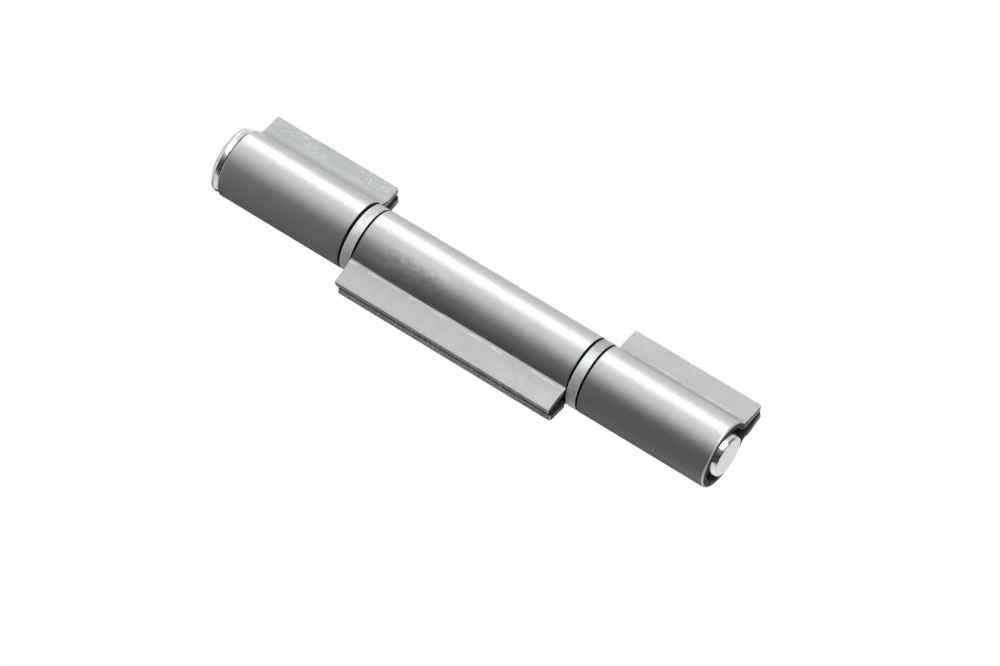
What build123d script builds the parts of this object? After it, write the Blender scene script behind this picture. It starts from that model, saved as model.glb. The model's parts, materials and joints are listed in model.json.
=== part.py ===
from build123d import *

import os
from math import atan2, cos, degrees, radians, sin, sqrt

# Weld-on hinge of three folded knuckles, two washers and a headed pin. Sizes in millimetres.
# The pin stands along Z with its head on top. The end knuckles' leaves point to +X, the centre one's to -X.

# Pin
pin_diameter = 15.8
head_inset = 0.25
head_rim_height = 2.6
head_height = 3.6
head_edge_radius = 1.0
head_flare = 0.85
head_flare_height = 1.75
tail_length = 1.3
tail_taper_length = 6.4
tail_taper_width = 2.15
tail_edge_radius = 0.5

# Knuckles, each folded from one blank
sheet_thickness = 2.0
leaf_gap = 0.4
leaf_reach = 17.2
front_corner_radius = 0.4
back_corner_radius = 0.9
sheet_edge_chamfer = 0.3
end_knuckle_length = 40.0
centre_knuckle_length = 69.0

# Each layer's bend at the barrel, and its slope in degrees from the leaf's tip out to that bend
upper_front_bend = 5.0
upper_front_slope = 0.0
upper_back_bend = 1.5
upper_back_slope = 4.0
centre_front_bend = 0.6
centre_front_slope = 12.0
centre_back_bend = 1.5
centre_back_slope = 12.0
lower_front_bend = 1.5
lower_front_slope = 8.0
lower_back_bend = 1.5
lower_back_slope = 12.0

# How far each blank's back layer lies below its front one, and one falls short of it, as the folds come out
upper_back_drop = 0.85
centre_back_drop = 0.8
lower_back_drop = 0.3
upper_back_shortfall = 0.6
drop_run = 1.0

# Washers, as wide as the barrels they part
washer_thickness = 3.0
washer_chamfer = 0.2

# Clearances
pin_clearance = 0.1
end_play = 0.5
head_play = 0.25

# Sizes that follow
pin_radius = pin_diameter / 2
bore_radius = pin_radius + pin_clearance
barrel_radius = bore_radius + sheet_thickness
head_radius = barrel_radius - head_inset
leaf_inside = leaf_gap / 2
leaf_outside = leaf_inside + sheet_thickness
stack_height = 2 * end_knuckle_length + centre_knuckle_length + 2 * washer_thickness + 4 * end_play
overall_height = head_height + head_play + stack_height + tail_length

# Heights of the lower faces, with the hinge's middle at zero
tail_end = -overall_height / 2
lower_knuckle_base = tail_end + tail_length
lower_washer_base = lower_knuckle_base + end_knuckle_length + end_play
centre_knuckle_base = lower_washer_base + washer_thickness + end_play
upper_washer_base = centre_knuckle_base + centre_knuckle_length + end_play
upper_knuckle_base = upper_washer_base + washer_thickness + end_play
head_base = upper_knuckle_base + end_knuckle_length + head_play


class Layer:
    """One layer of a leaf, seen from above on the back side: a bend at the barrel, then flat to the tip."""

    def __init__(self, bend, slope, reach=leaf_reach):
        """Takes the bend's outer radius, the flat's slope in degrees and how far out its tip reaches."""
        self.bend = bend
        self.slope = slope
        self.along = Vector(cos(radians(slope)), -sin(radians(slope)))
        self.outwards = Vector(-self.along.Y, self.along.X)
        self.tip = Vector(reach, leaf_outside)
        self.offset = self.tip.dot(self.outwards)
        bend_reach = sqrt((barrel_radius + bend) ** 2 - (self.offset + bend) ** 2)
        self.turn = degrees(atan2(self.offset + bend, bend_reach))
        self.root = self.along * bend_reach + self.outwards * self.offset
        self.length = (self.tip - self.root).length

    def side(self, barrel, depth):
        """One side of the sheet, from the far side of the barrel to the end of the bend."""
        start = self.turn - self.slope
        bend_middle = self.root + self.outwards * self.bend
        line = CenterArc((0, 0), barrel, 180, start - 180)
        return line + CenterArc(bend_middle, self.bend + depth, 180 + start, 90 - self.turn)

    def curl(self, height):
        """The half of the barrel that leads into this layer, with its bend."""
        outline = self.side(barrel_radius, 0) + self.side(bore_radius, sheet_thickness)
        outline += Line(self.root, self.root - self.outwards * sheet_thickness)
        outline += Line((-barrel_radius, 0), (-bore_radius, 0))
        return extrude(make_face(outline), amount=height)

    def flat(self, height, drop, corner_radius):
        """The flat from the bend to the tip, which slides down by the drop as it leaves the bend."""
        outline = self.cut_edge(0, drop) + self.cut_edge(height, drop)
        outline += Line((0, 0), (0, height))
        outline += Line((self.length, -drop), (self.length, height - drop))
        face = make_face(outline)
        face = fillet(face.vertices().group_by(Axis.X)[-1], corner_radius)
        plane = Plane(self.root, x_dir=self.along, z_dir=-self.outwards)
        return extrude(plane * face, amount=sheet_thickness)

    def cut_edge(self, height, drop):
        """Cut edge of the flat, out from the bend at this height."""
        if drop == 0:
            return Line((0, height), (self.length, height))
        slide_end = (drop_run, height - drop)
        edge = Spline((0, height), slide_end, tangents=[(1, 0), (1, 0)])
        return edge + Line(slide_end, (self.length, height - drop))

    def half(self, height, drop, corner_radius):
        """This layer with its half of the barrel."""
        return self.curl(height) + self.flat(height, drop, corner_radius)

    def is_outer_rim(self, edge):
        """True for an edge where the outside of the sheet meets its cut edge."""
        middle = edge @ 0.5
        if edge.geom_type == GeomType.CIRCLE and abs(edge.radius - barrel_radius) < 0.001:
            return True
        if (middle - self.root).dot(self.along) > 0.001:
            return abs(middle.dot(self.outwards) - self.offset) < 0.001
        return edge.geom_type == GeomType.CIRCLE and abs(edge.radius - self.bend) < 0.001


def knuckle(length, front, back, back_drop):
    """A folded knuckle standing on z = 0, its doubled leaf pointing to +X and its front layer to -Y."""
    front_half = front.half(length, 0, front_corner_radius)
    back_half = back.half(length, back_drop, back_corner_radius)
    front_half = chamfer(front_half.edges().filter_by(front.is_outer_rim), sheet_edge_chamfer)
    back_half = chamfer(back_half.edges().filter_by(back.is_outer_rim), sheet_edge_chamfer)
    return mirror(front_half, Plane.XZ) + back_half


def washer():
    """A flat ring as wide as the barrel, standing on z = 0."""
    disc = extrude(Circle(barrel_radius), amount=washer_thickness)
    disc = chamfer(disc.edges().filter_by(GeomType.CIRCLE), washer_chamfer)
    return disc - extrude(Circle(bore_radius), amount=washer_thickness)


def pin_head():
    """A low domed head that flares out from its base to a rounded rim, standing on z = 0."""
    dome_height = head_height - head_rim_height
    dome_radius = (head_radius**2 + dome_height**2) / (2 * dome_height)
    base = (head_radius - head_flare, 0)
    flare_end = (head_radius, head_flare_height)
    rim = (head_radius, head_rim_height)
    outline = Polyline((0, head_height), (0, 0), base)
    outline += TangentArc(flare_end, base, tangent=(0, -1))
    outline += Line(flare_end, rim)
    outline += RadiusArc(rim, (0, head_height), -dome_radius)
    section = make_face(outline)
    section = fillet(section.vertices().sort_by_distance(rim)[0], head_edge_radius)
    return revolve(Plane.XZ * section, Axis.Z)


def pin_shank():
    """The plain shank from the tail's flat end up to the head, tapered where it comes out below."""
    flat_radius = pin_radius - tail_taper_width
    taper_top = tail_end + tail_taper_length
    outline = Polyline(
        (0, tail_end),
        (flat_radius, tail_end),
        (pin_radius, taper_top),
        (pin_radius, head_base),
        (0, head_base),
        close=True,
    )
    section = make_face(outline)
    flat_edge = section.vertices().sort_by_distance((flat_radius, tail_end))[0]
    return revolve(Plane.XZ * fillet(flat_edge, tail_edge_radius), Axis.Z)


upper_front = Layer(upper_front_bend, upper_front_slope)
upper_back = Layer(upper_back_bend, upper_back_slope, leaf_reach - upper_back_shortfall)
centre_front = Layer(centre_front_bend, centre_front_slope)
centre_back = Layer(centre_back_bend, centre_back_slope)
lower_front = Layer(lower_front_bend, lower_front_slope)
lower_back = Layer(lower_back_bend, lower_back_slope)

upper = knuckle(end_knuckle_length, upper_front, upper_back, upper_back_drop)
centre = mirror(knuckle(centre_knuckle_length, centre_front, centre_back, centre_back_drop), Plane.YZ)
lower = knuckle(end_knuckle_length, lower_front, lower_back, lower_back_drop)

nodes = {
    "upper_knuckle": Pos(0, 0, upper_knuckle_base) * upper,
    "centre_knuckle": Pos(0, 0, centre_knuckle_base) * centre,
    "lower_knuckle": Pos(0, 0, lower_knuckle_base) * lower,
    "upper_washer": Pos(0, 0, upper_washer_base) * washer(),
    "lower_washer": Pos(0, 0, lower_washer_base) * washer(),
    "hinge_pin": pin_shank() + Pos(0, 0, head_base) * pin_head(),
}

os.makedirs("parts", exist_ok=True)
for name, shape in nodes.items():
    export_step(shape, f"parts/{name}.step")
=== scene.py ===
"""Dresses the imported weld-on hinge: folded steel knuckles, zinc-plated washers and a headed pin."""

import json
import logging
import math
from collections.abc import Callable, Mapping
from dataclasses import dataclass, field
from enum import Enum

import bmesh
import bpy
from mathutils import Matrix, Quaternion, Vector

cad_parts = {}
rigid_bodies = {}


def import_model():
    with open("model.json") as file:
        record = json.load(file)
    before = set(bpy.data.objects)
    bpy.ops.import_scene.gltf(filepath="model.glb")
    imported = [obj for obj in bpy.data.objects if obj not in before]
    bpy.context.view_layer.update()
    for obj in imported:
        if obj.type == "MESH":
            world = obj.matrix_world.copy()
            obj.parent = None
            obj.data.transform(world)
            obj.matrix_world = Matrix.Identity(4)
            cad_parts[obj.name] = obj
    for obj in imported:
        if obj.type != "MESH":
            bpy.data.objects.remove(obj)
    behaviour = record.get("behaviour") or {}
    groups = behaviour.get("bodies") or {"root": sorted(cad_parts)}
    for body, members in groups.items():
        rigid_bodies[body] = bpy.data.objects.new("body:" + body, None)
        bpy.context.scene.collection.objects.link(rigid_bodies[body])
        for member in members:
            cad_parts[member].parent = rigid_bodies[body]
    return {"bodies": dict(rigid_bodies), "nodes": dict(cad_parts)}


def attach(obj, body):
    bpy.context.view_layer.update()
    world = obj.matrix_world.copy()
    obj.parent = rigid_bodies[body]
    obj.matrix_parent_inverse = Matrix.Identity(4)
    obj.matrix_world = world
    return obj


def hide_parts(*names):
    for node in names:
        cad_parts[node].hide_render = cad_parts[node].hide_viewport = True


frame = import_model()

Colour = tuple[float, float, float]
Point = tuple[float, float, float]
Span = tuple[float, float]
Socket = bpy.types.NodeSocket
Material = bpy.types.Material

MM = 0.001
NEAR = 0.02 * MM
FACETS_ROUND = 144
SMOOTH_ANGLE = math.radians(40.0)
NOISE_ROUGHNESS = 0.55
WHITE = (1.0, 1.0, 1.0)

# Sizes of the solids
PIN_RADIUS = 7.9 * MM
BORE_RADIUS = 8.0 * MM
BARREL_RADIUS = 10.0 * MM
SHEET_THICKNESS = 2.0 * MM
LEAF_OUTSIDE = 2.2 * MM
LEAF_REACH = 17.2 * MM
END_KNUCKLE_LENGTH = 40.0 * MM
CENTRE_KNUCKLE_LENGTH = 69.0 * MM
WASHER_HEIGHT = 3.0 * MM
END_PLAY = 0.5 * MM
HEAD_PLAY = 0.25 * MM
HEAD_HEIGHT = 3.6 * MM
TAIL_LENGTH = 1.3 * MM

# Heights of the lower ends, with the hinge's middle at zero
STACK_HEIGHT = 2 * END_KNUCKLE_LENGTH + CENTRE_KNUCKLE_LENGTH + 2 * WASHER_HEIGHT + 4 * END_PLAY
TAIL_END = -(HEAD_HEIGHT + HEAD_PLAY + STACK_HEIGHT + TAIL_LENGTH) / 2
LOWER_KNUCKLE_BASE = TAIL_END + TAIL_LENGTH
LOWER_WASHER_BASE = LOWER_KNUCKLE_BASE + END_KNUCKLE_LENGTH + END_PLAY
CENTRE_KNUCKLE_BASE = LOWER_WASHER_BASE + WASHER_HEIGHT + END_PLAY
UPPER_WASHER_BASE = CENTRE_KNUCKLE_BASE + CENTRE_KNUCKLE_LENGTH + END_PLAY
UPPER_KNUCKLE_BASE = UPPER_WASHER_BASE + WASHER_HEIGHT + END_PLAY
HEAD_BASE = UPPER_KNUCKLE_BASE + END_KNUCKLE_LENGTH + HEAD_PLAY

log = logging.getLogger("weld_hinge")


class LeafSide(Enum):
    """The side of the pin that a knuckle's leaf points to, along X."""

    END_LEAVES = 1
    CENTRE_LEAF = -1


class RecordSlot(Enum):
    """The record's finish slots."""

    BARE_STEEL = "bare_steel"
    ZINC_PLATE = "zinc_plate"


def mm(low: float, high: float) -> Span:
    """A span given in millimetres."""
    return low * MM, high * MM


@dataclass(frozen=True)
class Pattern:
    """A noise pattern: its patches' size, its finer layers, and between which values a mask of it rises."""

    size: float
    detail: float = 3.0
    low: float = 0.0
    high: float = 1.0
    stretch: Point = (1.0, 1.0, 1.0)
    turn: Point = (0.0, 0.0, 0.0)


class Shade:
    """A shader value that takes part in Python arithmetic, each step adding one Math node."""

    def __init__(self, sheet: "NodeSheet", socket: Socket) -> None:
        """Wraps an output socket of one of the sheet's nodes."""
        self.sheet = sheet
        self.socket = socket

    def reckon(self, operation: str, *values: "Shade | float") -> "Shade":
        """The result of one Math node on these values."""
        node = self.sheet.add("ShaderNodeMath", {"operation": operation}, dict(enumerate(values)))
        return Shade(self.sheet, node.outputs[0])

    def __add__(self, other: "Shade | float") -> "Shade":
        """Adds a value."""
        return self.reckon("ADD", self, other)

    def __radd__(self, other: float) -> "Shade":
        """Adds this value to a number."""
        return self.reckon("ADD", other, self)

    def __sub__(self, other: "Shade | float") -> "Shade":
        """Takes a value away."""
        return self.reckon("SUBTRACT", self, other)

    def __rsub__(self, other: float) -> "Shade":
        """Takes this value away from a number."""
        return self.reckon("SUBTRACT", other, self)

    def __mul__(self, other: "Shade | float") -> "Shade":
        """Multiplies by a value."""
        return self.reckon("MULTIPLY", self, other)

    def __rmul__(self, other: float) -> "Shade":
        """Multiplies a number by this value."""
        return self.reckon("MULTIPLY", other, self)

    def __abs__(self) -> "Shade":
        """The value without its sign."""
        return self.reckon("ABSOLUTE", self)

    def swing(self, amount: float) -> "Shade":
        """A pattern's swing to both sides of its middle, this much over its full range."""
        return (self - 0.5) * amount

    def between(self, low: float, high: float) -> "Shade":
        """A smooth mask that is 0 below one value and 1 above another.

        Args:
            low: The value at which the mask leaves 0.
            high: The value at which it reaches 1.

        Returns:
            The mask.
        """
        inputs = {"Value": self, "From Min": low, "From Max": high}
        node = self.sheet.add("ShaderNodeMapRange", {"interpolation_type": "SMOOTHSTEP"}, inputs)
        return Shade(self.sheet, node.outputs["Result"])

    def within(self, start: Span, end: Span) -> "Shade":
        """A smooth mask that rises over the first span and falls over the second."""
        return self.between(*start) * (1 - self.between(*end))


class NodeSheet:
    """The nodes of one material or world."""

    def __init__(self, tree: bpy.types.NodeTree) -> None:
        """Empties a node tree and takes it over."""
        self.tree = tree
        tree.nodes.clear()

    def add(
        self, kind: str, settings: Mapping[str, object] | None = None,
        inputs: Mapping[str | int, object] | None = None,
    ) -> bpy.types.Node:
        """Adds one node, sets it up, then fills its sockets.

        Args:
            kind: The node's type.
            settings: Its properties.
            inputs: Values, Shades or output sockets for its input sockets, by name or number.

        Returns:
            The node.
        """
        node = self.tree.nodes.new(kind)
        for name, value in (settings or {}).items():
            setattr(node, name, value)
        for key, value in (inputs or {}).items():
            if isinstance(value, Shade):
                self.tree.links.new(value.socket, node.inputs[key])
            elif isinstance(value, Socket):
                self.tree.links.new(value, node.inputs[key])
            else:
                node.inputs[key].default_value = value
        return node

    def place(self) -> Socket:
        """The point's place on the piece, in metres."""
        return self.add("ShaderNodeTexCoord").outputs["Object"]

    def axis(self, name: str) -> Shade:
        """The X, Y or Z of the point's place."""
        return Shade(self, self.add("ShaderNodeSeparateXYZ", None, {0: self.place()}).outputs[name])

    def cloud(self, pattern: Pattern) -> Shade:
        """A noise pattern from 0 to 1.

        Args:
            pattern: What the noise is like.

        Returns:
            The noise.
        """
        mapped = {"Vector": self.place(), "Scale": pattern.stretch, "Rotation": pattern.turn}
        inputs = {
            "Vector": self.add("ShaderNodeMapping", None, mapped).outputs["Vector"],
            "Scale": 1.0 / pattern.size,
            "Detail": pattern.detail,
            "Roughness": NOISE_ROUGHNESS,
        }
        return Shade(self, self.add("ShaderNodeTexNoise", None, inputs).outputs["Fac"])

    def mask(self, pattern: Pattern) -> Shade:
        """A mask of a noise pattern's patches."""
        return self.cloud(pattern).between(pattern.low, pattern.high)

    def blend(self, share: Shade, first: Colour | Socket, second: Colour | Socket) -> Socket:
        """Mixes two colours, with this share of the second one."""
        inputs = {"Factor": share, 6: self.opaque(first), 7: self.opaque(second)}
        return self.add("ShaderNodeMix", {"data_type": "RGBA", "clamp_factor": True}, inputs).outputs[2]

    def opaque(self, colour: Colour | Socket) -> object:
        """A colour with its fourth channel, or the socket as it is."""
        return colour if isinstance(colour, Socket) else (*colour, 1.0)

    def relief(self, height: Shade, depth: float, strength: float) -> Socket:
        """The normal of a bump, whose height pattern spans this depth in metres."""
        inputs = {"Height": height, "Distance": depth, "Strength": strength}
        return self.add("ShaderNodeBump", None, inputs).outputs["Normal"]

    def surface(self, inputs: Mapping[str | int, object]) -> None:
        """Ends the sheet in one Principled shader with these sockets."""
        shader = self.add("ShaderNodeBsdfPrincipled", None, inputs)
        self.add("ShaderNodeOutputMaterial", None, {"Surface": shader.outputs["BSDF"]})


def new_material(name: str) -> tuple[Material, NodeSheet]:
    """Makes an empty node material.

    Args:
        name: The material's name.

    Returns:
        The material and its node sheet.
    """
    material = bpy.data.materials.new(name)
    material.use_nodes = True
    return material, NodeSheet(material.node_tree)


@dataclass(frozen=True)
class MillSteel:
    """Bare sheet steel, burnished where it was rolled round the pin and duller on the flat leaf.

    The spans that end in start give how far out from the pin, towards the leaf, a look begins and is full.
    The bend's colour is painted shading: painted light on the upper and lower knuckles, painted shade on
    the centre one.
    """

    name: str
    side: LeafSide
    leaf_start: Span
    leaf_colour: Colour
    # Painted shading on the bend: by default lighter than the barrel, as painted light.
    bend_shading_start: Span = mm(7.0, 8.6)
    bend_painted_shading: Colour = (0.80, 0.80, 0.79)
    barrel_colour: Colour = (0.56, 0.56, 0.56)
    stain_tone: float = 0.7
    mottle_share: float = 0.10
    streak_share: float = 0.16
    scuff_start: Span = mm(11.5, 13.5)
    scuff_colour: Colour = (0.64, 0.65, 0.63)
    scuff_share: float = 0.25
    # Painted highlight: a thin light line along the crease, where the bend meets the flat.
    crease_start: Span = mm(10.0, 10.2)
    crease_end: Span = mm(10.3, 10.6)
    crease_painted_highlight: float = 0.0
    barrel_roughness: float = 0.34
    leaf_roughness: float = 0.6
    specular_tint: Colour = (0.7, 0.7, 0.7)
    waviness: float = 0.5
    calm_waves: float = 0.15
    dimples_start: Span = mm(1.0, 4.0)
    dimples_forwards: Span = mm(0.0, 3.0)
    dimples_lower_end: Span = mm(1.0, 11.0)
    dimples_upper_end: Span = mm(23.0, 31.0)
    grain_relief: float = 0.035
    line_relief: float = 0.02
    scratch_relief: float = 0.02
    mottling: Pattern = Pattern(7.0 * MM, 4.0, 0.35, 0.7)
    streaks: Pattern = Pattern(0.7 * MM, 4.0, 0.4, 0.75, (1.0, 1.0, 0.12))
    scratches: Pattern = Pattern(0.45 * MM, 5.0, 0.46, 0.64, (1.0, 1.0, 0.35), (0.0, 0.5, 0.0))
    rubbing: Pattern = Pattern(5.0 * MM, 2.0, 0.40, 0.54, (1.0, 1.0, 0.4))
    wandering: Pattern = Pattern(1.6 * MM, 4.0, stretch=(1.0, 1.0, 0.5))
    crease_breaks: Pattern = Pattern(4.0 * MM, 3.0, 0.38, 0.6)
    grain: Pattern = Pattern(0.5 * MM, 4.0)
    drawn_lines: Pattern = Pattern(0.35 * MM, 2.0, stretch=(1.0, 1.0, 0.04))
    waves: Pattern = Pattern(5.5 * MM, 2.0)

    def material(self) -> Material:
        """Makes the finish.

        Returns:
            The material.
        """
        material, sheet = new_material(self.name)
        outwards = sheet.axis("X") * float(self.side.value)
        leaf = outwards.between(*self.leaf_start)
        uneven = sheet.cloud(self.mottling).swing(amount=0.10) + sheet.cloud(self.grain).swing(amount=0.06)
        duller = (self.leaf_roughness - self.barrel_roughness) * leaf
        looks = {
            "Base Color": self.colour(sheet, outwards, leaf),
            "Metallic": 1.0,
            "Roughness": self.barrel_roughness + duller + uneven,
            "Specular Tint": (*self.specular_tint, 1.0),
            "Normal": self.normal(sheet, outwards, leaf),
        }
        sheet.surface(looks)
        return material

    def colour(self, sheet: NodeSheet, outwards: Shade, leaf: Shade) -> Socket:
        """Mottled and streaked steel with painted shading on the bend, scuffed on the leaf's outer half,
        with a painted highlight along its crease.

        Args:
            sheet: The material's node sheet.
            outwards: How far out from the pin the point lies.
            leaf: The mask of the leaf.

        Returns:
            The colour.
        """
        # Painted shading on the bend: painted light where its colour is lighter than the barrel's, painted
        # shade where it is darker.
        bend = outwards.between(*self.bend_shading_start)
        clean = sheet.blend(leaf, sheet.blend(bend, self.barrel_colour, self.bend_painted_shading), self.leaf_colour)
        stains = sheet.mask(self.mottling) * self.mottle_share
        stains = stains + sheet.mask(self.streaks) * leaf * self.streak_share
        stained = sheet.blend(stains, clean, tuple(self.stain_tone * part for part in self.barrel_colour))
        scuffs = sheet.mask(self.scratches) * sheet.mask(self.rubbing)
        scuffs = scuffs * outwards.between(*self.scuff_start) * self.scuff_share
        # Painted highlight along the crease, in the scuffs' colour, wandering and broken in places.
        past_crease = outwards + sheet.cloud(self.wandering).swing(amount=1.0 * MM)
        crease = past_crease.within(self.crease_start, self.crease_end)
        crease = crease * sheet.mask(self.crease_breaks) * self.crease_painted_highlight
        return sheet.blend(crease, sheet.blend(scuffs, stained, self.scuff_colour), self.scuff_colour)

    def normal(self, sheet: NodeSheet, outwards: Shade, leaf: Shade) -> Socket:
        """Grain, drawn lines and scratches, with the barrel's shallow waves deepest where it is dimpled.

        Args:
            sheet: The material's node sheet.
            outwards: How far out from the pin the point lies.
            leaf: The mask of the leaf.

        Returns:
            The bumped normal.
        """
        up, forwards = sheet.axis("Z"), sheet.axis("Y") * -1.0
        dimpled = up.within(self.dimples_lower_end, self.dimples_upper_end)
        dimpled = dimpled * outwards.between(*self.dimples_start) * forwards.between(*self.dimples_forwards)
        waves = sheet.cloud(self.waves) * (self.calm_waves + (1 - self.calm_waves) * dimpled)
        height = sheet.cloud(self.grain) * self.grain_relief
        height = height + sheet.cloud(self.drawn_lines) * self.line_relief
        height = height + sheet.cloud(self.scratches) * self.scratch_relief
        height = height + waves * (1 - leaf) * self.waviness
        return sheet.relief(height, depth=0.1 * MM, strength=1.0)


@dataclass(frozen=True)
class ShearedEdge:
    """The torn face that shearing leaves round a blank: dark at its ends, dull grey along the leaf's tip.

    The end faces' dark, near black on the barrel and dark grey on the leaf, is painted shade, with torn
    patches of their own. They carry painted light on the front layer's flat and at the back layer's tip,
    where light reaches.
    """

    name: str
    # Painted shade on the end faces: near black at the barrel, dark on the leaf.
    barrel_colour: Colour = (0.02, 0.02, 0.019)
    leaf_colour: Colour = (0.05, 0.05, 0.048)
    torn_colour: Colour = (0.22, 0.225, 0.22)
    # Painted light on the front layer's end face and at the back layer's tip.
    painted_light_colour: Colour = (0.30, 0.31, 0.30)
    tip_colour: Colour = (0.33, 0.335, 0.33)
    torn_tip_colour: Colour = (0.85, 0.86, 0.84)
    leaf_start: Span = mm(9.0, 12.0)
    tip_start: Span = mm(16.5, 16.75)
    front_start: Span = mm(3.0, 14.0)
    front_inside: Span = mm(0.1, 0.3)
    front_outside: Span = mm(1.8, 2.05)
    back_start: Span = mm(12.0, 17.0)
    back_inside: Span = mm(-0.2, 0.0)
    back_share: float = 0.8
    metallic: float = 0.8
    tip_metallic: float = 0.35
    roughness: float = 0.62
    torn_roughness: float = 0.44
    tears: Pattern = Pattern(0.5 * MM, 5.0, 0.44, 0.66)
    patches: Pattern = Pattern(2.2 * MM, 3.0, 0.3, 0.6)

    def material(self) -> Material:
        """Makes the finish.

        Returns:
            The material.
        """
        material, sheet = new_material(self.name)
        out, forwards = sheet.axis("X"), sheet.axis("Y") * -1.0
        on_leaf = abs(out).between(*self.leaf_start)
        at_tip = abs(out).between(*self.tip_start)
        front = forwards.within(self.front_inside, self.front_outside) * out.between(*self.front_start)
        back_tip = (1 - forwards.between(*self.back_inside)) * out.between(*self.back_start)
        torn = sheet.mask(self.tears) * sheet.mask(self.patches)
        # Painted shade on the end faces, with painted light on the front layer and the back tip.
        end_colour = sheet.blend(on_leaf, self.barrel_colour, self.leaf_colour)
        end_colour = sheet.blend(torn * on_leaf, end_colour, self.torn_colour)
        end_colour = sheet.blend(front + back_tip * self.back_share, end_colour, self.painted_light_colour)
        tip_colour = sheet.blend(torn, self.tip_colour, self.torn_tip_colour)
        looks = {
            "Base Color": sheet.blend(at_tip, end_colour, tip_colour),
            "Metallic": self.metallic - (self.metallic - self.tip_metallic) * at_tip,
            "Roughness": self.roughness - (self.roughness - self.torn_roughness) * torn,
            "Normal": sheet.relief(sheet.cloud(self.tears), depth=0.12 * MM, strength=0.6),
        }
        sheet.surface(looks)
        return material


@dataclass(frozen=True)
class PaintedShadeInside:
    """The blank's inner face and the washers' flats: near black, painted shade for the bore and the gaps,
    with faint smears.
    """

    name: str
    # Painted shade: near black on faces that lie in the bore and the gaps.
    colour: Colour = (0.012, 0.012, 0.011)
    worn_colour: Colour = (0.05, 0.05, 0.048)
    roughness: float = 0.7
    smears: Pattern = Pattern(1.5 * MM, 4.0, 0.55, 0.8, (1.0, 1.0, 0.3))
    grit: Pattern = Pattern(0.3 * MM, 3.0)

    def material(self) -> Material:
        """Makes the finish.

        Returns:
            The material.
        """
        material, sheet = new_material(self.name)
        grit = sheet.cloud(self.grit)
        looks = {
            "Base Color": sheet.blend(sheet.mask(self.smears), self.colour, self.worn_colour),
            "Roughness": self.roughness + grit.swing(amount=0.2),
            "Normal": sheet.relief(grit, depth=0.05 * MM, strength=0.5),
        }
        sheet.surface(looks)
        return material


@dataclass(frozen=True)
class ZincPlate:
    """Bright bluish zinc plating on steel: dull in patches, dented above one height and finely grooved."""

    name: str
    colour: Colour
    dull_colour: Colour
    roughness: float
    relief_strength: float
    dents_start: Span
    grooves_relief: float
    dull_share: float = 0.6
    dull_roughness: float = 0.12
    dents_relief: float = 0.8
    frost_relief: float = 0.08
    bloom: Pattern = Pattern(3.0 * MM, 4.0, 0.5, 0.75)
    frost: Pattern = Pattern(0.4 * MM, 4.0)
    dents: Pattern = Pattern(2.6 * MM, 1.5)
    turned_grooves: Pattern = Pattern(0.15 * MM, 1.0, stretch=(0.02, 0.02, 1.0))

    def material(self) -> Material:
        """Makes the finish.

        Returns:
            The material.
        """
        material, sheet = new_material(self.name)
        dull, frost = sheet.mask(self.bloom), sheet.cloud(self.frost)
        plating = sheet.blend(dull * self.dull_share, self.colour, self.dull_colour)
        dents = sheet.cloud(self.dents) * sheet.axis("Z").between(*self.dents_start)
        height = dents * self.dents_relief + frost * self.frost_relief
        height = height + sheet.cloud(self.turned_grooves) * self.grooves_relief
        looks = {
            "Base Color": self.wear_and_painted_light(sheet, plating),
            "Metallic": 1.0,
            "Roughness": self.roughness + self.dull_roughness * dull + frost.swing(amount=0.12),
            "Normal": sheet.relief(height, depth=0.25 * MM, strength=self.relief_strength),
        }
        sheet.surface(looks)
        return material

    def wear_and_painted_light(self, sheet: NodeSheet, plating: Socket) -> Socket:
        """The plating's colour with its wear and painted light, here as it was new."""
        return plating


@dataclass(frozen=True)
class WasherPlate(ZincPlate):
    """A washer's plating, with a painted highlight on the side away from the end leaves, streaked by the
    rubbing pattern.
    """

    roughness: float = 0.5
    relief_strength: float = 0.15
    dents_start: Span = (-1.0, -0.999)
    grooves_relief: float = 4.5
    # Painted highlight: a brighter colour on the side away from the end leaves.
    painted_highlight_colour: Colour = (0.90, 0.93, 0.935)
    highlight_side_way: tuple[float, float] = (-0.94, 0.34)
    highlight_side_start: Span = mm(-6.6, 0.5)
    painted_highlight_share: float = 0.78
    highlight_streak_share: float = 0.22
    rubbing: Pattern = Pattern(0.9 * MM, 4.0, 0.35, 0.7, (1.0, 1.0, 0.25))

    def wear_and_painted_light(self, sheet: NodeSheet, plating: Socket) -> Socket:
        """The plating's colour with a painted highlight on one side.

        Args:
            sheet: The material's node sheet.
            plating: The colour when new.

        Returns:
            The colour with the painted highlight.
        """
        # Painted highlight on one side, streaked by the rubbing pattern.
        lit_side = sheet.axis("X") * self.highlight_side_way[0] + sheet.axis("Y") * self.highlight_side_way[1]
        painted_highlight = lit_side.between(*self.highlight_side_start)
        painted_highlight = painted_highlight * (self.painted_highlight_share + self.highlight_streak_share * sheet.mask(self.rubbing))
        return sheet.blend(painted_highlight, plating, self.painted_highlight_colour)


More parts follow.
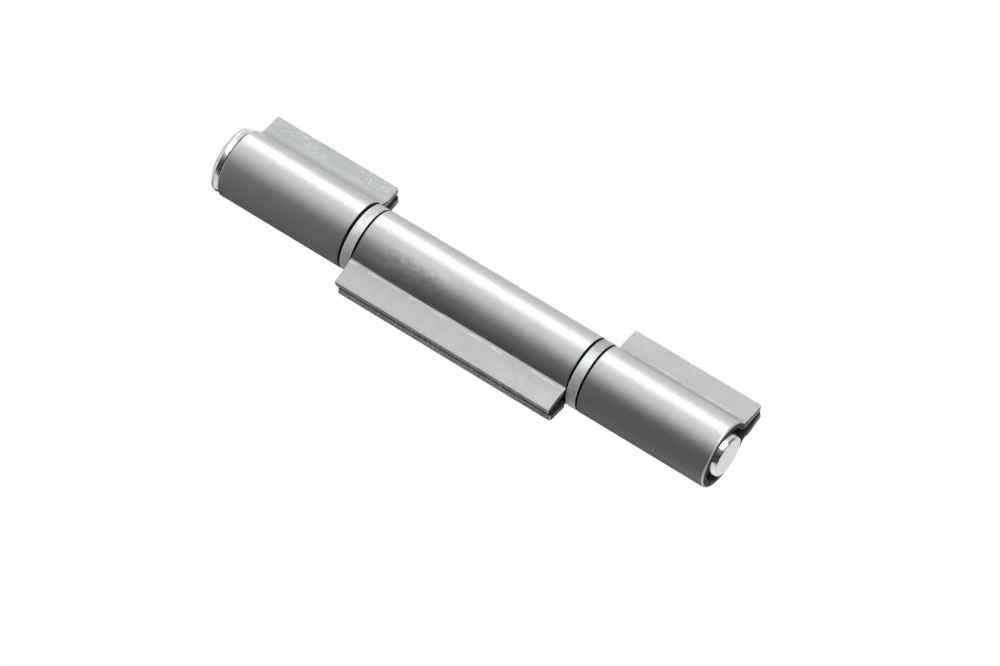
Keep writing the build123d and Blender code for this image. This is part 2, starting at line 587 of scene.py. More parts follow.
@dataclass(frozen=True)
class PinPlate(ZincPlate):
    """The pin's plating, dull on the head's rim, with painted shade under the head and a painted dark
    reflection on the tail's near side.

    The worn span and the painted shade's spans are heights above the head's base, and the dark reflection's
    spans above the tail's end.
    """

    colour: Colour = (0.87, 0.89, 0.885)
    dull_colour: Colour = (0.62, 0.65, 0.65)
    roughness: float = 0.2
    relief_strength: float = 0.5
    dents_start: Span = mm(0.0, 1.0)
    grooves_relief: float = 0.0
    worn_colour: Colour = (0.38, 0.40, 0.40)
    worn_start: Span = mm(1.425, 1.725)
    worn_share: float = 0.55
    # Painted shade: a dark band at the base of the head, where it meets the knuckle, on the side away from
    # the end leaves.
    under_head_shade_colour: Colour = (0.08, 0.08, 0.075)
    under_head_shade_start: Span = mm(-0.175, -0.075)
    under_head_shade_end: Span = mm(0.275, 0.475)
    under_head_shade_side: Span = mm(-4.0, -1.0)
    # Painted reflection: a dark patch on the tail's rounded edge, on its near side.
    dark_reflection_colour: Colour = (0.22, 0.22, 0.21)
    dark_reflection_start: Span = mm(0.025, 0.125)
    dark_reflection_end: Span = mm(0.425, 1.025)
    dark_reflection_forwards: Span = mm(3.8, 5.2)
    dark_reflection_share: float = 0.95

    def wear_and_painted_light(self, sheet: NodeSheet, plating: Socket) -> Socket:
        """The plating's colour with its wear, painted shade and a painted reflection.

        Args:
            sheet: The material's node sheet.
            plating: The colour when new.

        Returns:
            The colour with the wear, the painted shade under the head and the painted dark reflection on
            the tail.
        """
        above_base, above_tail = sheet.axis("Z") - HEAD_BASE, sheet.axis("Z") - TAIL_END
        dulled = self.worn_share + (1 - self.worn_share) * sheet.mask(self.bloom)
        worn = above_base.between(*self.worn_start) * dulled
        # Painted dark reflection on the tail's near side.
        dark_reflection = above_tail.within(self.dark_reflection_start, self.dark_reflection_end)
        dark_reflection = dark_reflection * (sheet.axis("Y") * -1.0).between(*self.dark_reflection_forwards) * self.dark_reflection_share
        # Painted shade under the head.
        under_head_shade = above_base.within(self.under_head_shade_start, self.under_head_shade_end)
        under_head_shade = under_head_shade * sheet.axis("X").between(*self.under_head_shade_side)
        colour = sheet.blend(worn, plating, self.worn_colour)
        return sheet.blend(under_head_shade, sheet.blend(dark_reflection, colour, self.dark_reflection_colour), self.under_head_shade_colour)


def radius_of(place: Vector) -> float:
    """How far a point lies from the pin's axis."""
    return math.hypot(place.x, place.y)


def ring_test(radius: float, height: float) -> Callable[[Vector, Vector], bool]:
    """A test for the edges of one level ring round the pin's axis."""
    return lambda *ends: all(
        abs(end.z - height) < NEAR and abs(radius_of(end) - radius) < NEAR for end in ends
    )


def is_level(_: Vector, normal: Vector) -> bool:
    """True for a face with this middle and normal that lies level."""
    return abs(normal.z) > 0.99


class Workpiece:
    """One mesh on the bench, shaped in edit mode and finished with applied modifiers."""

    def __init__(self, name: str, *finishes: Material) -> None:
        """Takes hold of the primitive that was just added.

        Args:
            name: The piece's name.
            finishes: The materials of its slots, in order.
        """
        self.obj = bpy.context.object
        self.obj.name = name
        self.obj.data.name = name
        for finish in finishes:
            self.obj.data.materials.append(finish)
        bpy.ops.object.transform_apply(location=True, rotation=True, scale=True)
        bpy.ops.object.mode_set(mode="EDIT")
        bpy.ops.mesh.select_mode(type="VERT")
        bpy.ops.mesh.select_all(action="DESELECT")

    @staticmethod
    def clear_bench() -> None:
        """Leaves edit mode and deselects everything."""
        if bpy.context.object and bpy.context.object.mode != "OBJECT":
            bpy.ops.object.mode_set(mode="OBJECT")
        bpy.ops.object.select_all(action="DESELECT")

    def pick(self, kind: str, wanted: Callable[..., bool]) -> None:
        """Selects corners, edges or faces, with what lies between them.

        Args:
            kind: VERT, EDGE or FACE.
            wanted: Tells from one of them if it is wanted.
        """
        bpy.ops.mesh.select_mode(type=kind)
        bpy.ops.mesh.select_all(action="DESELECT")
        mesh = bmesh.from_edit_mesh(self.obj.data)
        for item in {"VERT": mesh.verts, "EDGE": mesh.edges, "FACE": mesh.faces}[kind]:
            item.select_set(wanted(item))
        mesh.select_flush_mode()
        bmesh.update_edit_mesh(self.obj.data)

    def pick_corners(self, test: Callable[[Vector], bool]) -> None:
        """Selects the corners whose place passes a test."""
        self.pick("VERT", lambda vert: test(vert.co))

    def pick_edges(self, test: Callable[[Vector, Vector], bool]) -> None:
        """Selects the edges whose two ends pass a test."""
        self.pick("EDGE", lambda edge: test(edge.verts[0].co, edge.verts[1].co))

    def pick_faces(self, test: Callable[[Vector, Vector], bool]) -> None:
        """Selects the faces whose middle and normal pass a test."""
        self.pick("FACE", lambda face: test(face.calc_center_median(), face.normal))

    def paint(self, slot: int) -> None:
        """Gives the selected faces the finish in this material slot."""
        self.obj.active_material_index = slot
        bpy.ops.object.material_slot_assign()

    def draw_out(self, offset: Point) -> None:
        """Extrudes what is selected and moves it by the offset."""
        bpy.ops.mesh.extrude_region_move(TRANSFORM_OT_translate={"value": offset})

    def roll(self, centre: tuple[float, float], angle: float, steps: int) -> None:
        """Spins the selected line anticlockwise about an upright axis, leaving a wall of strips."""
        bpy.ops.mesh.spin(steps=steps, angle=angle, center=(*centre, 0.0), axis=(0.0, 0.0, -1.0))

    def widen(self, scale: float) -> None:
        """Scales what is selected about the pin's axis, keeping its height."""
        bpy.ops.transform.resize(value=(scale, scale, 1.0), center_override=(0.0, 0.0, 0.0))

    def round_over(self, width: float, segments: int) -> None:
        """Rounds the selected edges, from this far away, with that many strips."""
        bpy.ops.mesh.bevel(offset=width, offset_type="OFFSET", segments=segments, profile=0.5)

    def weld(self) -> None:
        """Merges corners that lie on each other and points the faces outwards."""
        bpy.ops.mesh.select_all(action="SELECT")
        bpy.ops.mesh.remove_doubles(threshold=0.5 * NEAR)
        bpy.ops.mesh.normals_make_consistent(inside=False)
        bpy.ops.mesh.select_all(action="DESELECT")

    def apply(self, kind: str, **settings: object) -> None:
        """Adds a modifier and applies it.

        Args:
            kind: The modifier's type.
            settings: Its properties.
        """
        bpy.ops.object.mode_set(mode="OBJECT")
        bpy.ops.object.modifier_add(type=kind)
        modifier = self.obj.modifiers[-1]
        for name, value in settings.items():
            setattr(modifier, name, value)
        bpy.ops.object.modifier_apply(modifier=modifier.name)
        bpy.ops.object.mode_set(mode="EDIT")

    def finish(self, body: str, slot: RecordSlot) -> bpy.types.Object:
        """Smooths the piece, sets it on its body and puts it in its solid's place.

        Args:
            body: The CAD body and node, which share a name.
            slot: The record slot of its finish; not used.

        Returns:
            The finished object.
        """
        bpy.ops.object.mode_set(mode="OBJECT")
        bpy.ops.object.shade_smooth_by_angle(angle=SMOOTH_ANGLE)
        self.apply("WEIGHTED_NORMAL", keep_sharp=True, weight=60)
        bpy.ops.object.mode_set(mode="OBJECT")
        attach(self.obj, body)
        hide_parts(body)
        log.info("%s: %d faces on %s", self.obj.name, len(self.obj.data.polygons), body)
        return self.obj


@dataclass(frozen=True)
class Fold:
    """One layer of a leaf, seen from above on the back side: a bend at the barrel, then flat to the tip."""

    bend: float
    slope: float
    drop: float = 0.0
    reach: float = LEAF_REACH
    corner: float = 0.4 * MM

    @property
    def along(self) -> Vector:
        """Direction of the flat, from the bend out to the tip."""
        return Vector((math.cos(self.slope), -math.sin(self.slope)))

    @property
    def outwards(self) -> Vector:
        """Direction that the flat's outer face looks in."""
        return Vector((math.sin(self.slope), math.cos(self.slope)))

    @property
    def tip(self) -> Vector:
        """The outer face's tip."""
        return Vector((self.reach, LEAF_OUTSIDE))

    @property
    def root(self) -> Vector:
        """Where the outer face leaves its bend.

        Returns:
            The place.
        """
        rise = self.tip.dot(self.outwards) + self.bend
        run = math.sqrt((BARREL_RADIUS + self.bend) ** 2 - rise**2)
        return self.along * run + self.outwards * (rise - self.bend)

    @property
    def bend_centre(self) -> Vector:
        """Middle of the bend."""
        return self.root + self.outwards * self.bend

    @property
    def barrel_angle(self) -> float:
        """Direction from the pin in which the barrel goes over into the bend, in radians."""
        return math.atan2(self.bend_centre.y, self.bend_centre.x)

    @property
    def bend_angle(self) -> float:
        """How far the sheet turns in the bend, in radians."""
        return math.pi / 2 - self.slope - self.barrel_angle

    def holds(self, place: Vector) -> bool:
        """Tells if a point lies on the outer face of the bend or the flat.

        Args:
            place: The point, seen from above on the back side.

        Returns:
            True if it does.
        """
        if (place - self.root).dot(self.along) > -NEAR:
            return abs((place - self.root).dot(self.outwards)) < NEAR
        return place.x > 0 and abs((place - self.bend_centre).length - self.bend) < 2 * NEAR


@dataclass
class Knuckle:
    """A blank rolled round the pin, its two tails bent tight and laid together as a doubled leaf."""

    SKIN, EDGE, INSIDE = range(3)

    body: str
    lower_end: float
    length: float
    front: Fold
    back: Fold
    side: LeafSide
    skin: Material
    edge: Material
    inside: Material
    thickness: float = SHEET_THICKNESS
    swell: float = 0.0
    swell_core: float = 0.4 * MM
    swell_reach: float = 4.0 * MM
    lower_rounding: float = 0.25 * MM
    upper_rounding: float = 0.25 * MM
    leaf_rounding: float = 0.2 * MM
    # Painted shade on the barrel's rim at the lower and the upper end, beside the washers.
    rims_with_painted_shade: tuple[bool, bool] = (True, True)
    rim_reach: float = 0.5 * MM
    rim_tilt: float = 0.15
    drop_run: float = 1.0 * MM
    drop_strips: int = 6
    flat_strips: int = 4
    upright_strips: int = 16
    bend_strips: int = 12
    barrel_strips: int = 120
    corner_strips: int = 5
    rim_strips: int = 3
    piece: Workpiece = field(init=False)

    def build(self) -> bpy.types.Object:
        """Models the knuckle.

        Returns:
            The finished object.
        """
        self.start_front_tail()
        self.roll_up()
        self.lay_back_tail()
        self.swell_ends()
        self.turn_to_side()
        self.thicken()
        self.round_corners()
        self.roll_rims_over()
        self.paint_shade_on_rims()
        return self.piece.finish(self.body, RecordSlot.BARE_STEEL)

    def start_front_tail(self) -> None:
        """Starts with the front tail's outer face, from its tip to the bend."""
        Workpiece.clear_bench()
        root, tip = self.front.root, self.front.tip
        middle = (root + tip) / 2
        bpy.ops.mesh.primitive_grid_add(
            x_subdivisions=self.flat_strips,
            y_subdivisions=self.upright_strips,
            size=1.0,
            location=(middle.x, -middle.y, self.lower_end + self.length / 2),
            rotation=(math.pi / 2, 0.0, self.front.slope),
        )
        bpy.context.object.scale = ((tip - root).length, self.length, 1.0)
        self.piece = Workpiece(f"{self.body}_sheet", self.skin, self.edge, self.inside)

    def roll_up(self) -> None:
        """Rolls the blank through the front bend, round the pin and through the back bend."""
        front, back = self.front, self.back
        self.piece.pick_corners(self.line_test(front.root.x, -front.root.y))
        self.piece.roll((front.bend_centre.x, -front.bend_centre.y), front.bend_angle, self.bend_strips)
        self.piece.pick_corners(self.barrel_test(-front.barrel_angle))
        turn = front.barrel_angle + back.barrel_angle - 2 * math.pi
        self.piece.roll((0.0, 0.0), turn, self.barrel_strips)
        self.piece.pick_corners(self.barrel_test(back.barrel_angle))
        self.piece.roll(tuple(back.bend_centre), back.bend_angle, self.bend_strips)

    def line_test(self, x: float, y: float) -> Callable[[Vector], bool]:
        """A test for the corners on the upright line at this place."""
        return lambda co: abs(co.x - x) < NEAR and abs(co.y - y) < NEAR

    def barrel_test(self, angle: float) -> Callable[[Vector], bool]:
        """A test for the corners on the barrel's upright line in this direction, in radians."""
        return self.line_test(BARREL_RADIUS * math.cos(angle), BARREL_RADIUS * math.sin(angle))

    def lay_back_tail(self) -> None:
        """Draws out the back tail, which slides down a little as it leaves the bend."""
        back = self.back
        self.piece.pick_corners(self.line_test(back.root.x, back.root.y))
        run = back.along * self.drop_run / self.drop_strips
        fallen = 0.0
        for step in range(1, self.drop_strips + 1):
            share = step / self.drop_strips
            fall = back.drop * share * share * (3 - 2 * share)
            self.piece.draw_out((run.x, run.y, fallen - fall))
            fallen = fall
        half_rest = back.along * ((back.tip - back.root).length - self.drop_run) / 2
        for _ in range(2):
            self.piece.draw_out((half_rest.x, half_rest.y, 0.0))

    def swell_ends(self) -> None:
        """Pushes the sheet out a little at both ends of the front bend, where bending squeezed it."""
        if not self.swell:
            return
        root = self.front.root
        for level, way in ((self.lower_end, -1.0), (self.lower_end + self.length, 1.0)):

            def at_end_of_bend(co: Vector) -> bool:
                """True for a corner at this end of the front bend."""
                off_root = math.hypot(co.x - root.x, co.y + root.y)
                return abs(co.z - level) < NEAR and off_root < self.swell_core

            self.piece.pick_corners(at_end_of_bend)
            bpy.ops.transform.translate(
                value=(0.0, 0.0, way * self.swell),
                use_proportional_edit=True,
                proportional_edit_falloff="SMOOTH",
                proportional_size=self.swell_reach,
            )

    def turn_to_side(self) -> None:
        """Mirrors the centre leaf to its own side of the pin."""
        if self.side is LeafSide.CENTRE_LEAF:
            bpy.ops.mesh.select_all(action="SELECT")
            bpy.ops.transform.resize(value=(-1.0, 1.0, 1.0), center_override=(0.0, 0.0, 0.0))
        self.piece.weld()

    def thicken(self) -> None:
        """Gives the skin the sheet's thickness, inwards, with sheared faces round its rim."""
        self.piece.apply(
            "SOLIDIFY", thickness=self.thickness, offset=-1.0, use_even_offset=True, use_rim=True,
            material_offset_rim=self.EDGE, material_offset=self.INSIDE,
        )

    def round_corners(self) -> None:
        """Rounds the corners at the tips of the leaf's two layers."""
        for fold, way in ((self.front, -1.0), (self.back, 1.0)):
            ends = (self.lower_end - fold.drop, self.lower_end - fold.drop + self.length)

            def at_tip_corner(first: Vector, second: Vector) -> bool:
                """Tells if an edge runs across this layer, at its tip and one of its ends.

                Args:
                    first: The edge's one end.
                    second: Its other end.

                Returns:
                    True if it does.
                """
                level = abs(first.z - second.z) < NEAR and min(abs(first.z - end) for end in ends) < NEAR
                at_tip = max(abs(first.x), abs(second.x)) > fold.reach - NEAR and first.y * way > 0
                return level and at_tip and abs((first - second).length - self.thickness) < NEAR

            self.piece.pick_edges(at_tip_corner)
            self.piece.round_over(fold.corner, self.corner_strips)

    def roll_rims_over(self) -> None:
        """Rounds the outer skin's rims, each by its own width."""
        widest = max(self.lower_rounding, self.upper_rounding, self.leaf_rounding)
        mesh = bmesh.from_edit_mesh(self.piece.obj.data)
        weights = mesh.edges.layers.float.new("bevel_weight_edge")
        for edge in mesh.edges:
            ends = [vert.co for vert in edge.verts]
            kinds = {face.material_index for face in edge.link_faces}
            on_rim = kinds == {self.SKIN, self.EDGE} and all(self.on_outer_skin(end) for end in ends)
            edge[weights] = self.rim_rounding(*ends) / widest if on_rim else 0.0
        bmesh.update_edit_mesh(self.piece.obj.data)
        self.piece.apply(
            "BEVEL", limit_method="WEIGHT", offset_type="OFFSET", width=widest,
            segments=self.rim_strips, material=self.SKIN, use_clamp_overlap=False,
        )

    def rim_rounding(self, first: Vector, second: Vector) -> float:
        """How far the edge between these two corners of the outer face is rounded."""
        if not (self.on_barrel(first) and self.on_barrel(second)):
            return self.leaf_rounding
        return self.lower_rounding if first.z < self.lower_end + self.length / 2 else self.upper_rounding

    def on_barrel(self, co: Vector) -> bool:
        """True for a corner on the barrel's outer face."""
        return abs(radius_of(co) - BARREL_RADIUS) < 2 * NEAR

    def on_outer_skin(self, co: Vector) -> bool:
        """True for a corner on the sheet's outer face."""
        fold = self.back if co.y > 0 else self.front
        return self.on_barrel(co) or fold.holds(Vector((self.side.value * co.x, abs(co.y))))

    def paint_shade_on_rims(self) -> None:
        """Paints shade on the barrel's rims beside the washers, with the sheared faces' near-black finish.
        """
        ends = (self.lower_end, self.lower_end + self.length)
        levels = [end for end, dark in zip(ends, self.rims_with_painted_shade) if dark]

        def on_rim_with_painted_shade(middle: Vector, normal: Vector) -> bool:
            """Tells if a face lies on the rounding between the barrel and one of these ends.

            Args:
                middle: The face's middle.
                normal: Its normal.

            Returns:
                True if it does.
            """
            near_end = min(abs(middle.z - level) for level in levels) < self.rim_reach
            on_barrel = BARREL_RADIUS - 2 * self.rim_reach < radius_of(middle) < BARREL_RADIUS
            return near_end and on_barrel and abs(normal.z) > self.rim_tilt

        self.piece.pick_faces(on_rim_with_painted_shade)
        self.piece.paint(self.EDGE)


@dataclass
class Washer:
    """A thick plated ring between two knuckles."""

    FLATS = 1

    body: str
    lower_end: float
    plating: Material
    flats: Material
    height: float = WASHER_HEIGHT
    outer_radius: float = 9.985 * MM
    bore_radius: float = BORE_RADIUS
    rim_rounding: float = 0.12 * MM
    rim_strips: int = 4
    lean: tuple[float, float] = (0.0, 0.0)

    def build(self) -> bpy.types.Object:
        """Models the washer.

        Returns:
            The finished object.
        """
        Workpiece.clear_bench()
        middle = (0.0, 0.0, self.lower_end + self.height / 2)
        bpy.ops.mesh.primitive_cylinder_add(
            vertices=FACETS_ROUND, radius=self.outer_radius, depth=self.height, location=middle
        )
        piece = Workpiece(f"{self.body}_ring", self.plating, self.flats)
        piece.pick_faces(is_level)
        bpy.ops.mesh.inset(thickness=self.outer_radius - self.bore_radius, use_even_offset=True)
        bpy.ops.mesh.bridge_edge_loops()
        on_lower_rim = ring_test(self.outer_radius, self.lower_end)
        on_upper_rim = ring_test(self.outer_radius, self.lower_end + self.height)
        piece.pick_edges(lambda *ends: on_lower_rim(*ends) or on_upper_rim(*ends))
        piece.round_over(self.rim_rounding, self.rim_strips)
        piece.pick_faces(is_level)
        piece.paint(self.FLATS)
        piece.weld()
        self.lean_over(middle)
        return piece.finish(self.body, RecordSlot.ZINC_PLATE)

    def lean_over(self, middle: Point) -> None:
        """Lets the ring lean about its middle, within its play.

        Args:
            middle: The ring's middle.
        """
        bpy.ops.mesh.select_all(action="SELECT")
        for axis, angle in zip("XY", self.lean):
            bpy.ops.transform.rotate(value=-angle, orient_axis=axis, center_override=middle)


@dataclass
class HeadedPin:
    """The turned pin: a tapered tail with a flat end, a plain shank and a low domed head."""

    body: str
    plating: Material
    tail_end: float = TAIL_END
    shank_radius: float = PIN_RADIUS
    taper_length: float = 6.4 * MM
    taper_width: float = 2.15 * MM
    tail_rounding: float = 0.3 * MM
    head_base: float = HEAD_BASE
    head_height: float = HEAD_HEIGHT
    head_radius: float = 9.75 * MM
    head_flare: float = 0.85 * MM
    flare_height: float = 1.4 * MM
    flare_bulge: float = 0.15
    flare_rounding: float = 0.12 * MM
    flare_strips: int = 6
    rim_inset: float = 0.5 * MM
    rim_height: float = 2.65 * MM
    rim_rounding: float = 0.8 * MM
    dome_rings: int = 10
    dome_flat: float = 0.3

    def build(self) -> bpy.types.Object:
        """Models the pin.

        Returns:
            The finished object.
        """
        Workpiece.clear_bench()
        radius, height = self.shank_radius - self.taper_width, self.tail_end
        bpy.ops.mesh.primitive_circle_add(
            vertices=FACETS_ROUND, radius=radius, fill_type="NGON", location=(0.0, 0.0, height)
        )
        piece = Workpiece(f"{self.body}_turned", self.plating)
        bpy.ops.mesh.select_all(action="SELECT")
        profile = (
            (self.shank_radius, self.tail_end + self.taper_length),
            (self.shank_radius, self.head_base),
            *self.flare(),
            (self.head_radius - self.rim_inset, self.head_base + self.rim_height),
            *self.dome(),
        )
        for next_radius, next_height in profile:
            piece.draw_out((0.0, 0.0, next_height - height))
            piece.widen(next_radius / radius)
            radius, height = next_radius, next_height
        self.ease_edges(piece)
        piece.weld()
        return piece.finish(self.body, RecordSlot.ZINC_PLATE)

    def flare(self) -> list[tuple[float, float]]:
        """Radius and height of the rings that flare out from under the head to its rim.

        Returns:
            The rings, from the lowest up.
        """
        base = self.head_radius - self.head_flare
        rings = []
        for step in range(self.flare_strips + 1):
            share = step / self.flare_strips
            bulged = share + self.flare_bulge * share * (1 - share)
            rings.append((base + self.head_flare * bulged, self.head_base + self.flare_height * share))
        return rings

    def dome(self) -> list[tuple[float, float]]:
        """Radius and height of the rings that make the head's dome, which ends in a small flat.

        Returns:
            The rings, from the rim inwards.
        """
        rise = self.head_height - self.rim_height
        ball = (self.head_radius**2 + rise**2) / (2 * rise)
        top = self.head_base + self.head_height
        widest, steps = self.head_radius - self.rim_inset, self.dome_rings + self.dome_flat
        radii = [widest * (1 - step / steps) for step in range(1, self.dome_rings + 1)]
        return [(radius, top - ball + math.sqrt(ball**2 - radius**2)) for radius in radii]

    def ease_edges(self, piece: Workpiece) -> None:
        """Rounds the tail's flat, the flare's end and the head's rim.

        Args:
            piece: The workpiece.
        """
        roundings = (
            (self.shank_radius - self.taper_width, self.tail_end, self.tail_rounding, 6),
            (self.head_radius, self.head_base + self.flare_height, self.flare_rounding, 4),
            (self.head_radius - self.rim_inset, self.head_base + self.rim_height, self.rim_rounding, 8),
        )
        for radius, height, width, strips in roundings:
            piece.pick_edges(ring_test(radius, height))
            piece.round_over(width, strips)


@dataclass(frozen=True)
class ShadeCard:
    """A curved grey card round the hinge, which only reflections see.

    Its bearings go round the pin in degrees, from the end leaves towards the camera. The fades are the
    bearings between which it goes over from white to its tone, where the tail end or the head end sees it.
    """

    name: str
    bearings: Span
    heights: Span
    tail_tone: float
    head_tone: float
    tail_fade: Span
    head_fade: Span
    distance: float = 0.7
    strips_round: int = 180
    tint: Colour = (1.0, 1.01, 0.9)
    head_sees: Span = (0.175, 0.29)
    near_side: Span = (0.0, -0.1)

    def stand(self) -> None:
        """Stands the card in its place."""
        Workpiece.clear_bench()
        low, high = self.heights
        bpy.ops.mesh.primitive_cylinder_add(
            vertices=self.strips_round, radius=self.distance, depth=high - low,
            end_fill_type="NOTHING", location=(0.0, 0.0, (low + high) / 2),
        )
        piece = Workpiece(self.name, self.paint())
        piece.pick_faces(self.is_open)
        bpy.ops.mesh.delete(type="FACE")
        bpy.ops.object.mode_set(mode="OBJECT")
        piece.obj.visible_camera = False
        piece.obj.visible_shadow = False

    def is_open(self, middle: Vector, _: Vector) -> bool:
        """True for a strip that would stand outside the card's bearings."""
        bearing = math.degrees(math.atan2(-middle.y, middle.x)) % 360
        return not self.bearings[0] < bearing < self.bearings[1]

    def paint(self) -> Material:
        """Makes the card's glowing paint.

        Returns:
            The material.
        """
        material, sheet = new_material(f"{self.name}_paint")
        at_head = sheet.axis("Z").between(*self.head_sees)
        white = self.white(sheet, self.head_fade) * at_head
        white = white + self.white(sheet, self.tail_fade) * (1 - at_head)
        white = white * sheet.axis("Y").between(*self.near_side)
        tail_grey, head_grey = (
            tuple(tone * part for part in self.tint) for tone in (self.tail_tone, self.head_tone)
        )
        glow = sheet.blend(white, sheet.blend(at_head, tail_grey, head_grey), WHITE)
        black = (0.0, 0.0, 0.0, 1.0)
        sheet.surface({"Base Color": black, "Emission Color": glow, "Emission Strength": 1.0})
        return material

    def white(self, sheet: NodeSheet, fade: Span) -> Shade:
        """The mask of the card's white part, which ends between these bearings."""
        start, end = (self.distance * math.cos(math.radians(bearing)) for bearing in fade)
        return sheet.axis("X").between(end, start)


@dataclass(frozen=True)
class Softbox:
    """A softbox that faces the hinge.

    Its bearing is in degrees from the end leaves towards the camera, its rise above the hinge's middle a
    share of its distance, its power in watts, and its lean in degrees about the way it faces.
    """

    name: str
    bearing: float
    rise: float
    distance: float
    width: float
    height: float
    power: float
    lean: float = 0.0

    def hang(self) -> None:
        """Hangs the softbox in its place."""
        level = math.sqrt(1 - self.rise**2)
        angle = math.radians(self.bearing)
        way = Vector((level * math.cos(angle), -level * math.sin(angle), self.rise))
        lamp = bpy.data.lights.new(self.name, "AREA")
        lamp.shape = "RECTANGLE"
        lamp.size, lamp.size_y = self.width, self.height
        lamp.energy = self.power
        holder = bpy.data.objects.new(self.name, lamp)
        holder.location = way * self.distance
        turned = (-way).to_track_quat("-Z", "Y") @ Quaternion((0.0, 0.0, 1.0), math.radians(self.lean))
        holder.rotation_euler = turned.to_euler()
        holder.visible_camera = False
        bpy.context.scene.collection.objects.link(holder)


@dataclass(frozen=True)
class Studio:
    """A white room with a pale floor, grey cards beside the hinge, two softboxes and the camera."""

    cards: tuple[ShadeCard, ...] = (
        ShadeCard("shade_card", (72.0, 285.0), (0.05, 0.6), 0.08, 0.125, (92.0, 148.0), (73.0, 149.0)),
        ShadeCard("foot_card", (72.0, 225.0), (-0.1, 0.05), 0.08, 0.08, (92.0, 148.0), (92.0, 148.0)),
        ShadeCard("tail_card", (99.0, 182.0), (-0.43, -0.1), 0.02, 0.02, (99.0, 106.0), (99.0, 106.0)),
        ShadeCard("head_card", (124.0, 200.0), (-0.9, -0.28), 0.03, 0.03, (124.0, 132.0), (124.0, 132.0)),
    )
    softboxes: tuple[Softbox, ...] = (
        Softbox("key_softbox", 43.0, 0.32, 0.8, 0.34, 0.9, 1.3, -45.0),
        Softbox("tail_softbox", 85.0, -0.42, 0.8, 0.7, 0.35, 2.6),
    )
    floor_level: float = -0.9
    floor_width: float = 14.0
    floor_colours: tuple[Colour, Colour] = ((0.92, 0.92, 0.92), (0.96, 0.96, 0.96))
    floor_tone: Pattern = Pattern(0.4, 2.0)
    room_on_dull_surfaces: float = 0.8
    camera_place: Point = (-0.77812, -1.39683, -0.53771)
    camera_turn: tuple[float, float, float, float] = (0.4217656, 0.78293238, 0.20900865, -0.4067506)
    lens: float = 230.652
    sensor_width: float = 36.0
    clip_range: Span = (0.05, 50.0)

    def build(self) -> None:
        """Sets up floor, cards, lamps, world and camera."""
        self.lay_floor()
        for card in self.cards:
            card.stand()
        for softbox in self.softboxes:
            softbox.hang()
        self.light_world()
        self.place_camera()
        bpy.context.scene.view_settings.view_transform = "Standard"

    def lay_floor(self) -> None:
        """Lays a pale floor well below the hinge."""
        Workpiece.clear_bench()
        bpy.ops.mesh.primitive_plane_add(size=self.floor_width, location=(0.0, 0.0, self.floor_level))
        floor = bpy.context.object
        floor.name = "floor"
        material, sheet = new_material("floor_paint")
        colour = sheet.blend(sheet.cloud(self.floor_tone), *self.floor_colours)
        sheet.surface({"Base Color": colour, "Roughness": 0.8})
        floor.data.materials.append(material)

    def light_world(self) -> None:
        """Fills the room with white light, a little less of it on dull surfaces than in reflections."""
        world = bpy.data.worlds.new("white_room")
        world.use_nodes = True
        bpy.context.scene.world = world
        sheet = NodeSheet(world.node_tree)
        rays = sheet.add("ShaderNodeLightPath").outputs
        seen = Shade(sheet, rays["Is Camera Ray"]) + Shade(sheet, rays["Is Glossy Ray"])
        seen = (seen + Shade(sheet, rays["Is Transmission Ray"])).between(0.0, 1.0)
        strength = self.room_on_dull_surfaces + (1 - self.room_on_dull_surfaces) * seen
        room = sheet.add("ShaderNodeBackground", None, {"Color": (*WHITE, 1.0), "Strength": strength})
        sheet.add("ShaderNodeOutputWorld", None, {"Surface": room.outputs["Background"]})

    def place_camera(self) -> None:
        """Places the camera where the photograph was taken from."""
        data = bpy.data.cameras.new("camera")
        data.sensor_fit = "HORIZONTAL"
        data.sensor_width = self.sensor_width
        data.lens = self.lens
        data.clip_start, data.clip_end = self.clip_range
        camera = bpy.data.objects.new("camera", data)
        camera.location = self.camera_place
        camera.rotation_mode = "QUATERNION"
        camera.rotation_quaternion = Quaternion(self.camera_turn)
        bpy.context.scene.collection.objects.link(camera)
        bpy.context.scene.camera = camera


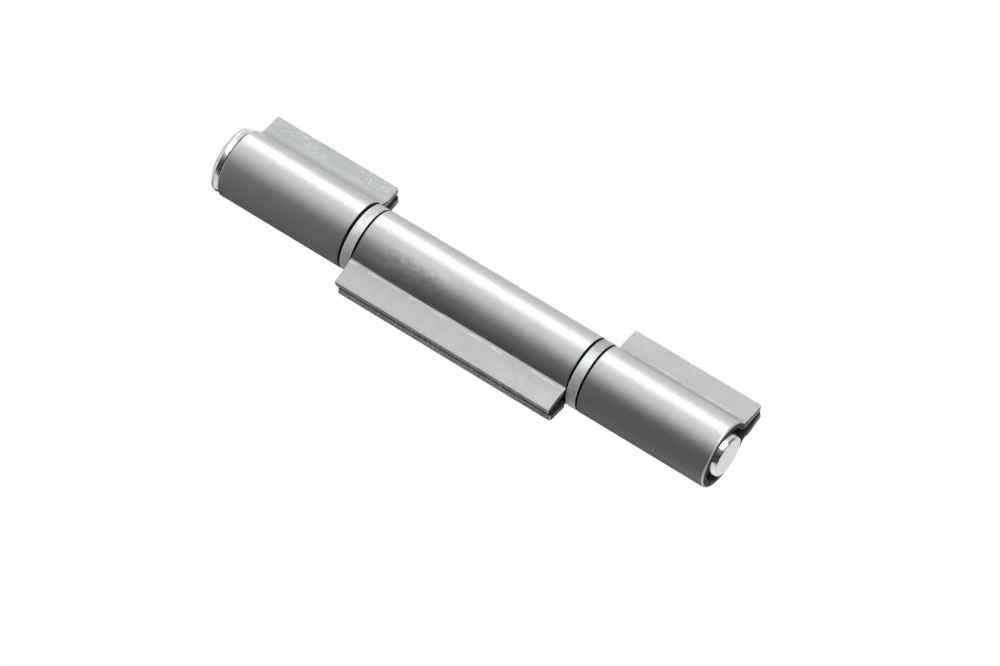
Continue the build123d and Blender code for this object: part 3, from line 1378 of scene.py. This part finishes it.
def knuckles(edge: Material, inside: Material) -> tuple[Knuckle, ...]:
    """The three knuckles, each with the folds and the skin that the photograph shows.

    Args:
        edge: The finish of the blanks' sheared faces.
        inside: The finish of their inner faces.

    Returns:
        The upper, the centre and the lower knuckle.
    """
    upper_skin = MillSteel(
        "mill_steel_upper", LeafSide.END_LEAVES, mm(7.6, 11.0), leaf_colour=(0.43, 0.45, 0.44),
        # Painted light on the upper knuckle's bend, from the default bend colour.
        bend_shading_start=mm(5.8, 8.0), scuff_colour=(0.72, 0.73, 0.70), scuff_share=0.5,
    )
    centre_skin = MillSteel(
        # Painted light: the centre leaf's colour is lighter than the end leaves' so that it shows as bright
        # as they do.
        "mill_steel_centre", LeafSide.CENTRE_LEAF, mm(9.3, 9.6), leaf_colour=(0.56, 0.575, 0.565),
        # Painted shade on the centre knuckle's bend, darker next to its crease.
        bend_shading_start=mm(7.0, 9.2), bend_painted_shading=(0.34, 0.34, 0.33), scuff_colour=(0.76, 0.77, 0.74),
        waviness=3.8, crease_painted_highlight=1.0,
    )
    lower_skin = MillSteel(
        "mill_steel_lower", LeafSide.END_LEAVES, mm(9.4, 10.0), leaf_colour=(0.42, 0.435, 0.425),
        crease_painted_highlight=0.6,
    )
    upper = Knuckle(
        "upper_knuckle", UPPER_KNUCKLE_BASE, END_KNUCKLE_LENGTH,
        Fold(bend=5.0 * MM, slope=0.0),
        Fold(bend=1.5 * MM, slope=math.radians(4.0), drop=0.85 * MM, reach=16.6 * MM, corner=0.9 * MM),
        LeafSide.END_LEAVES, upper_skin.material(), edge, inside,
        swell=0.12 * MM, lower_rounding=0.35 * MM, leaf_rounding=0.1 * MM, rims_with_painted_shade=(True, False),
    )
    centre = Knuckle(
        "centre_knuckle", CENTRE_KNUCKLE_BASE, CENTRE_KNUCKLE_LENGTH,
        Fold(bend=0.6 * MM, slope=math.radians(12.0)),
        Fold(bend=1.5 * MM, slope=math.radians(12.0), drop=0.8 * MM, corner=0.9 * MM),
        LeafSide.CENTRE_LEAF, centre_skin.material(), edge, inside,
        swell=0.32 * MM, leaf_rounding=0.35 * MM,
    )
    lower = Knuckle(
        "lower_knuckle", LOWER_KNUCKLE_BASE, END_KNUCKLE_LENGTH,
        Fold(bend=1.5 * MM, slope=math.radians(8.0)),
        Fold(bend=1.5 * MM, slope=math.radians(12.0), drop=0.3 * MM, corner=0.9 * MM),
        LeafSide.END_LEAVES, lower_skin.material(), edge, inside,
        lower_rounding=0.5 * MM, leaf_rounding=0.1 * MM, rims_with_painted_shade=(False, True),
    )
    return upper, centre, lower


def washers(flats: Material) -> tuple[Washer, ...]:
    """The two washers, the upper one leaning a little and the lower one duller.

    Args:
        flats: The finish of their flat faces, near black with painted shade.

    Returns:
        The upper and the lower washer.
    """
    upper_plate = WasherPlate("zinc_plate_upper_washer", (0.49, 0.50, 0.495), (0.37, 0.38, 0.375))
    lower_plate = WasherPlate("zinc_plate_lower_washer", (0.39, 0.40, 0.395), (0.30, 0.31, 0.305))
    return (
        Washer("upper_washer", UPPER_WASHER_BASE, upper_plate.material(), flats, lean=(0.009, 0.012)),
        Washer("lower_washer", LOWER_WASHER_BASE, lower_plate.material(), flats),
    )


def clear_scene() -> None:
    """Removes whatever the empty file holds beside the loaded model."""
    kept = set(frame["nodes"].values()) | set(frame["bodies"].values())
    for obj in list(bpy.context.scene.objects):
        if obj not in kept:
            bpy.data.objects.remove(obj)


def main() -> None:
    """Builds the hinge's pieces and the studio round them."""
    logging.basicConfig(level=logging.INFO, format="%(name)s %(message)s")
    clear_scene()
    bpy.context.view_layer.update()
    edge = ShearedEdge("sheared_edge").material()
    inside = PaintedShadeInside("painted_shade_inside").material()
    pin = HeadedPin("hinge_pin", PinPlate("zinc_plate_pin").material())
    for part in (*knuckles(edge, inside), *washers(inside), pin):
        part.build()
    Studio().build()


if __name__ == "__main__":
    main()
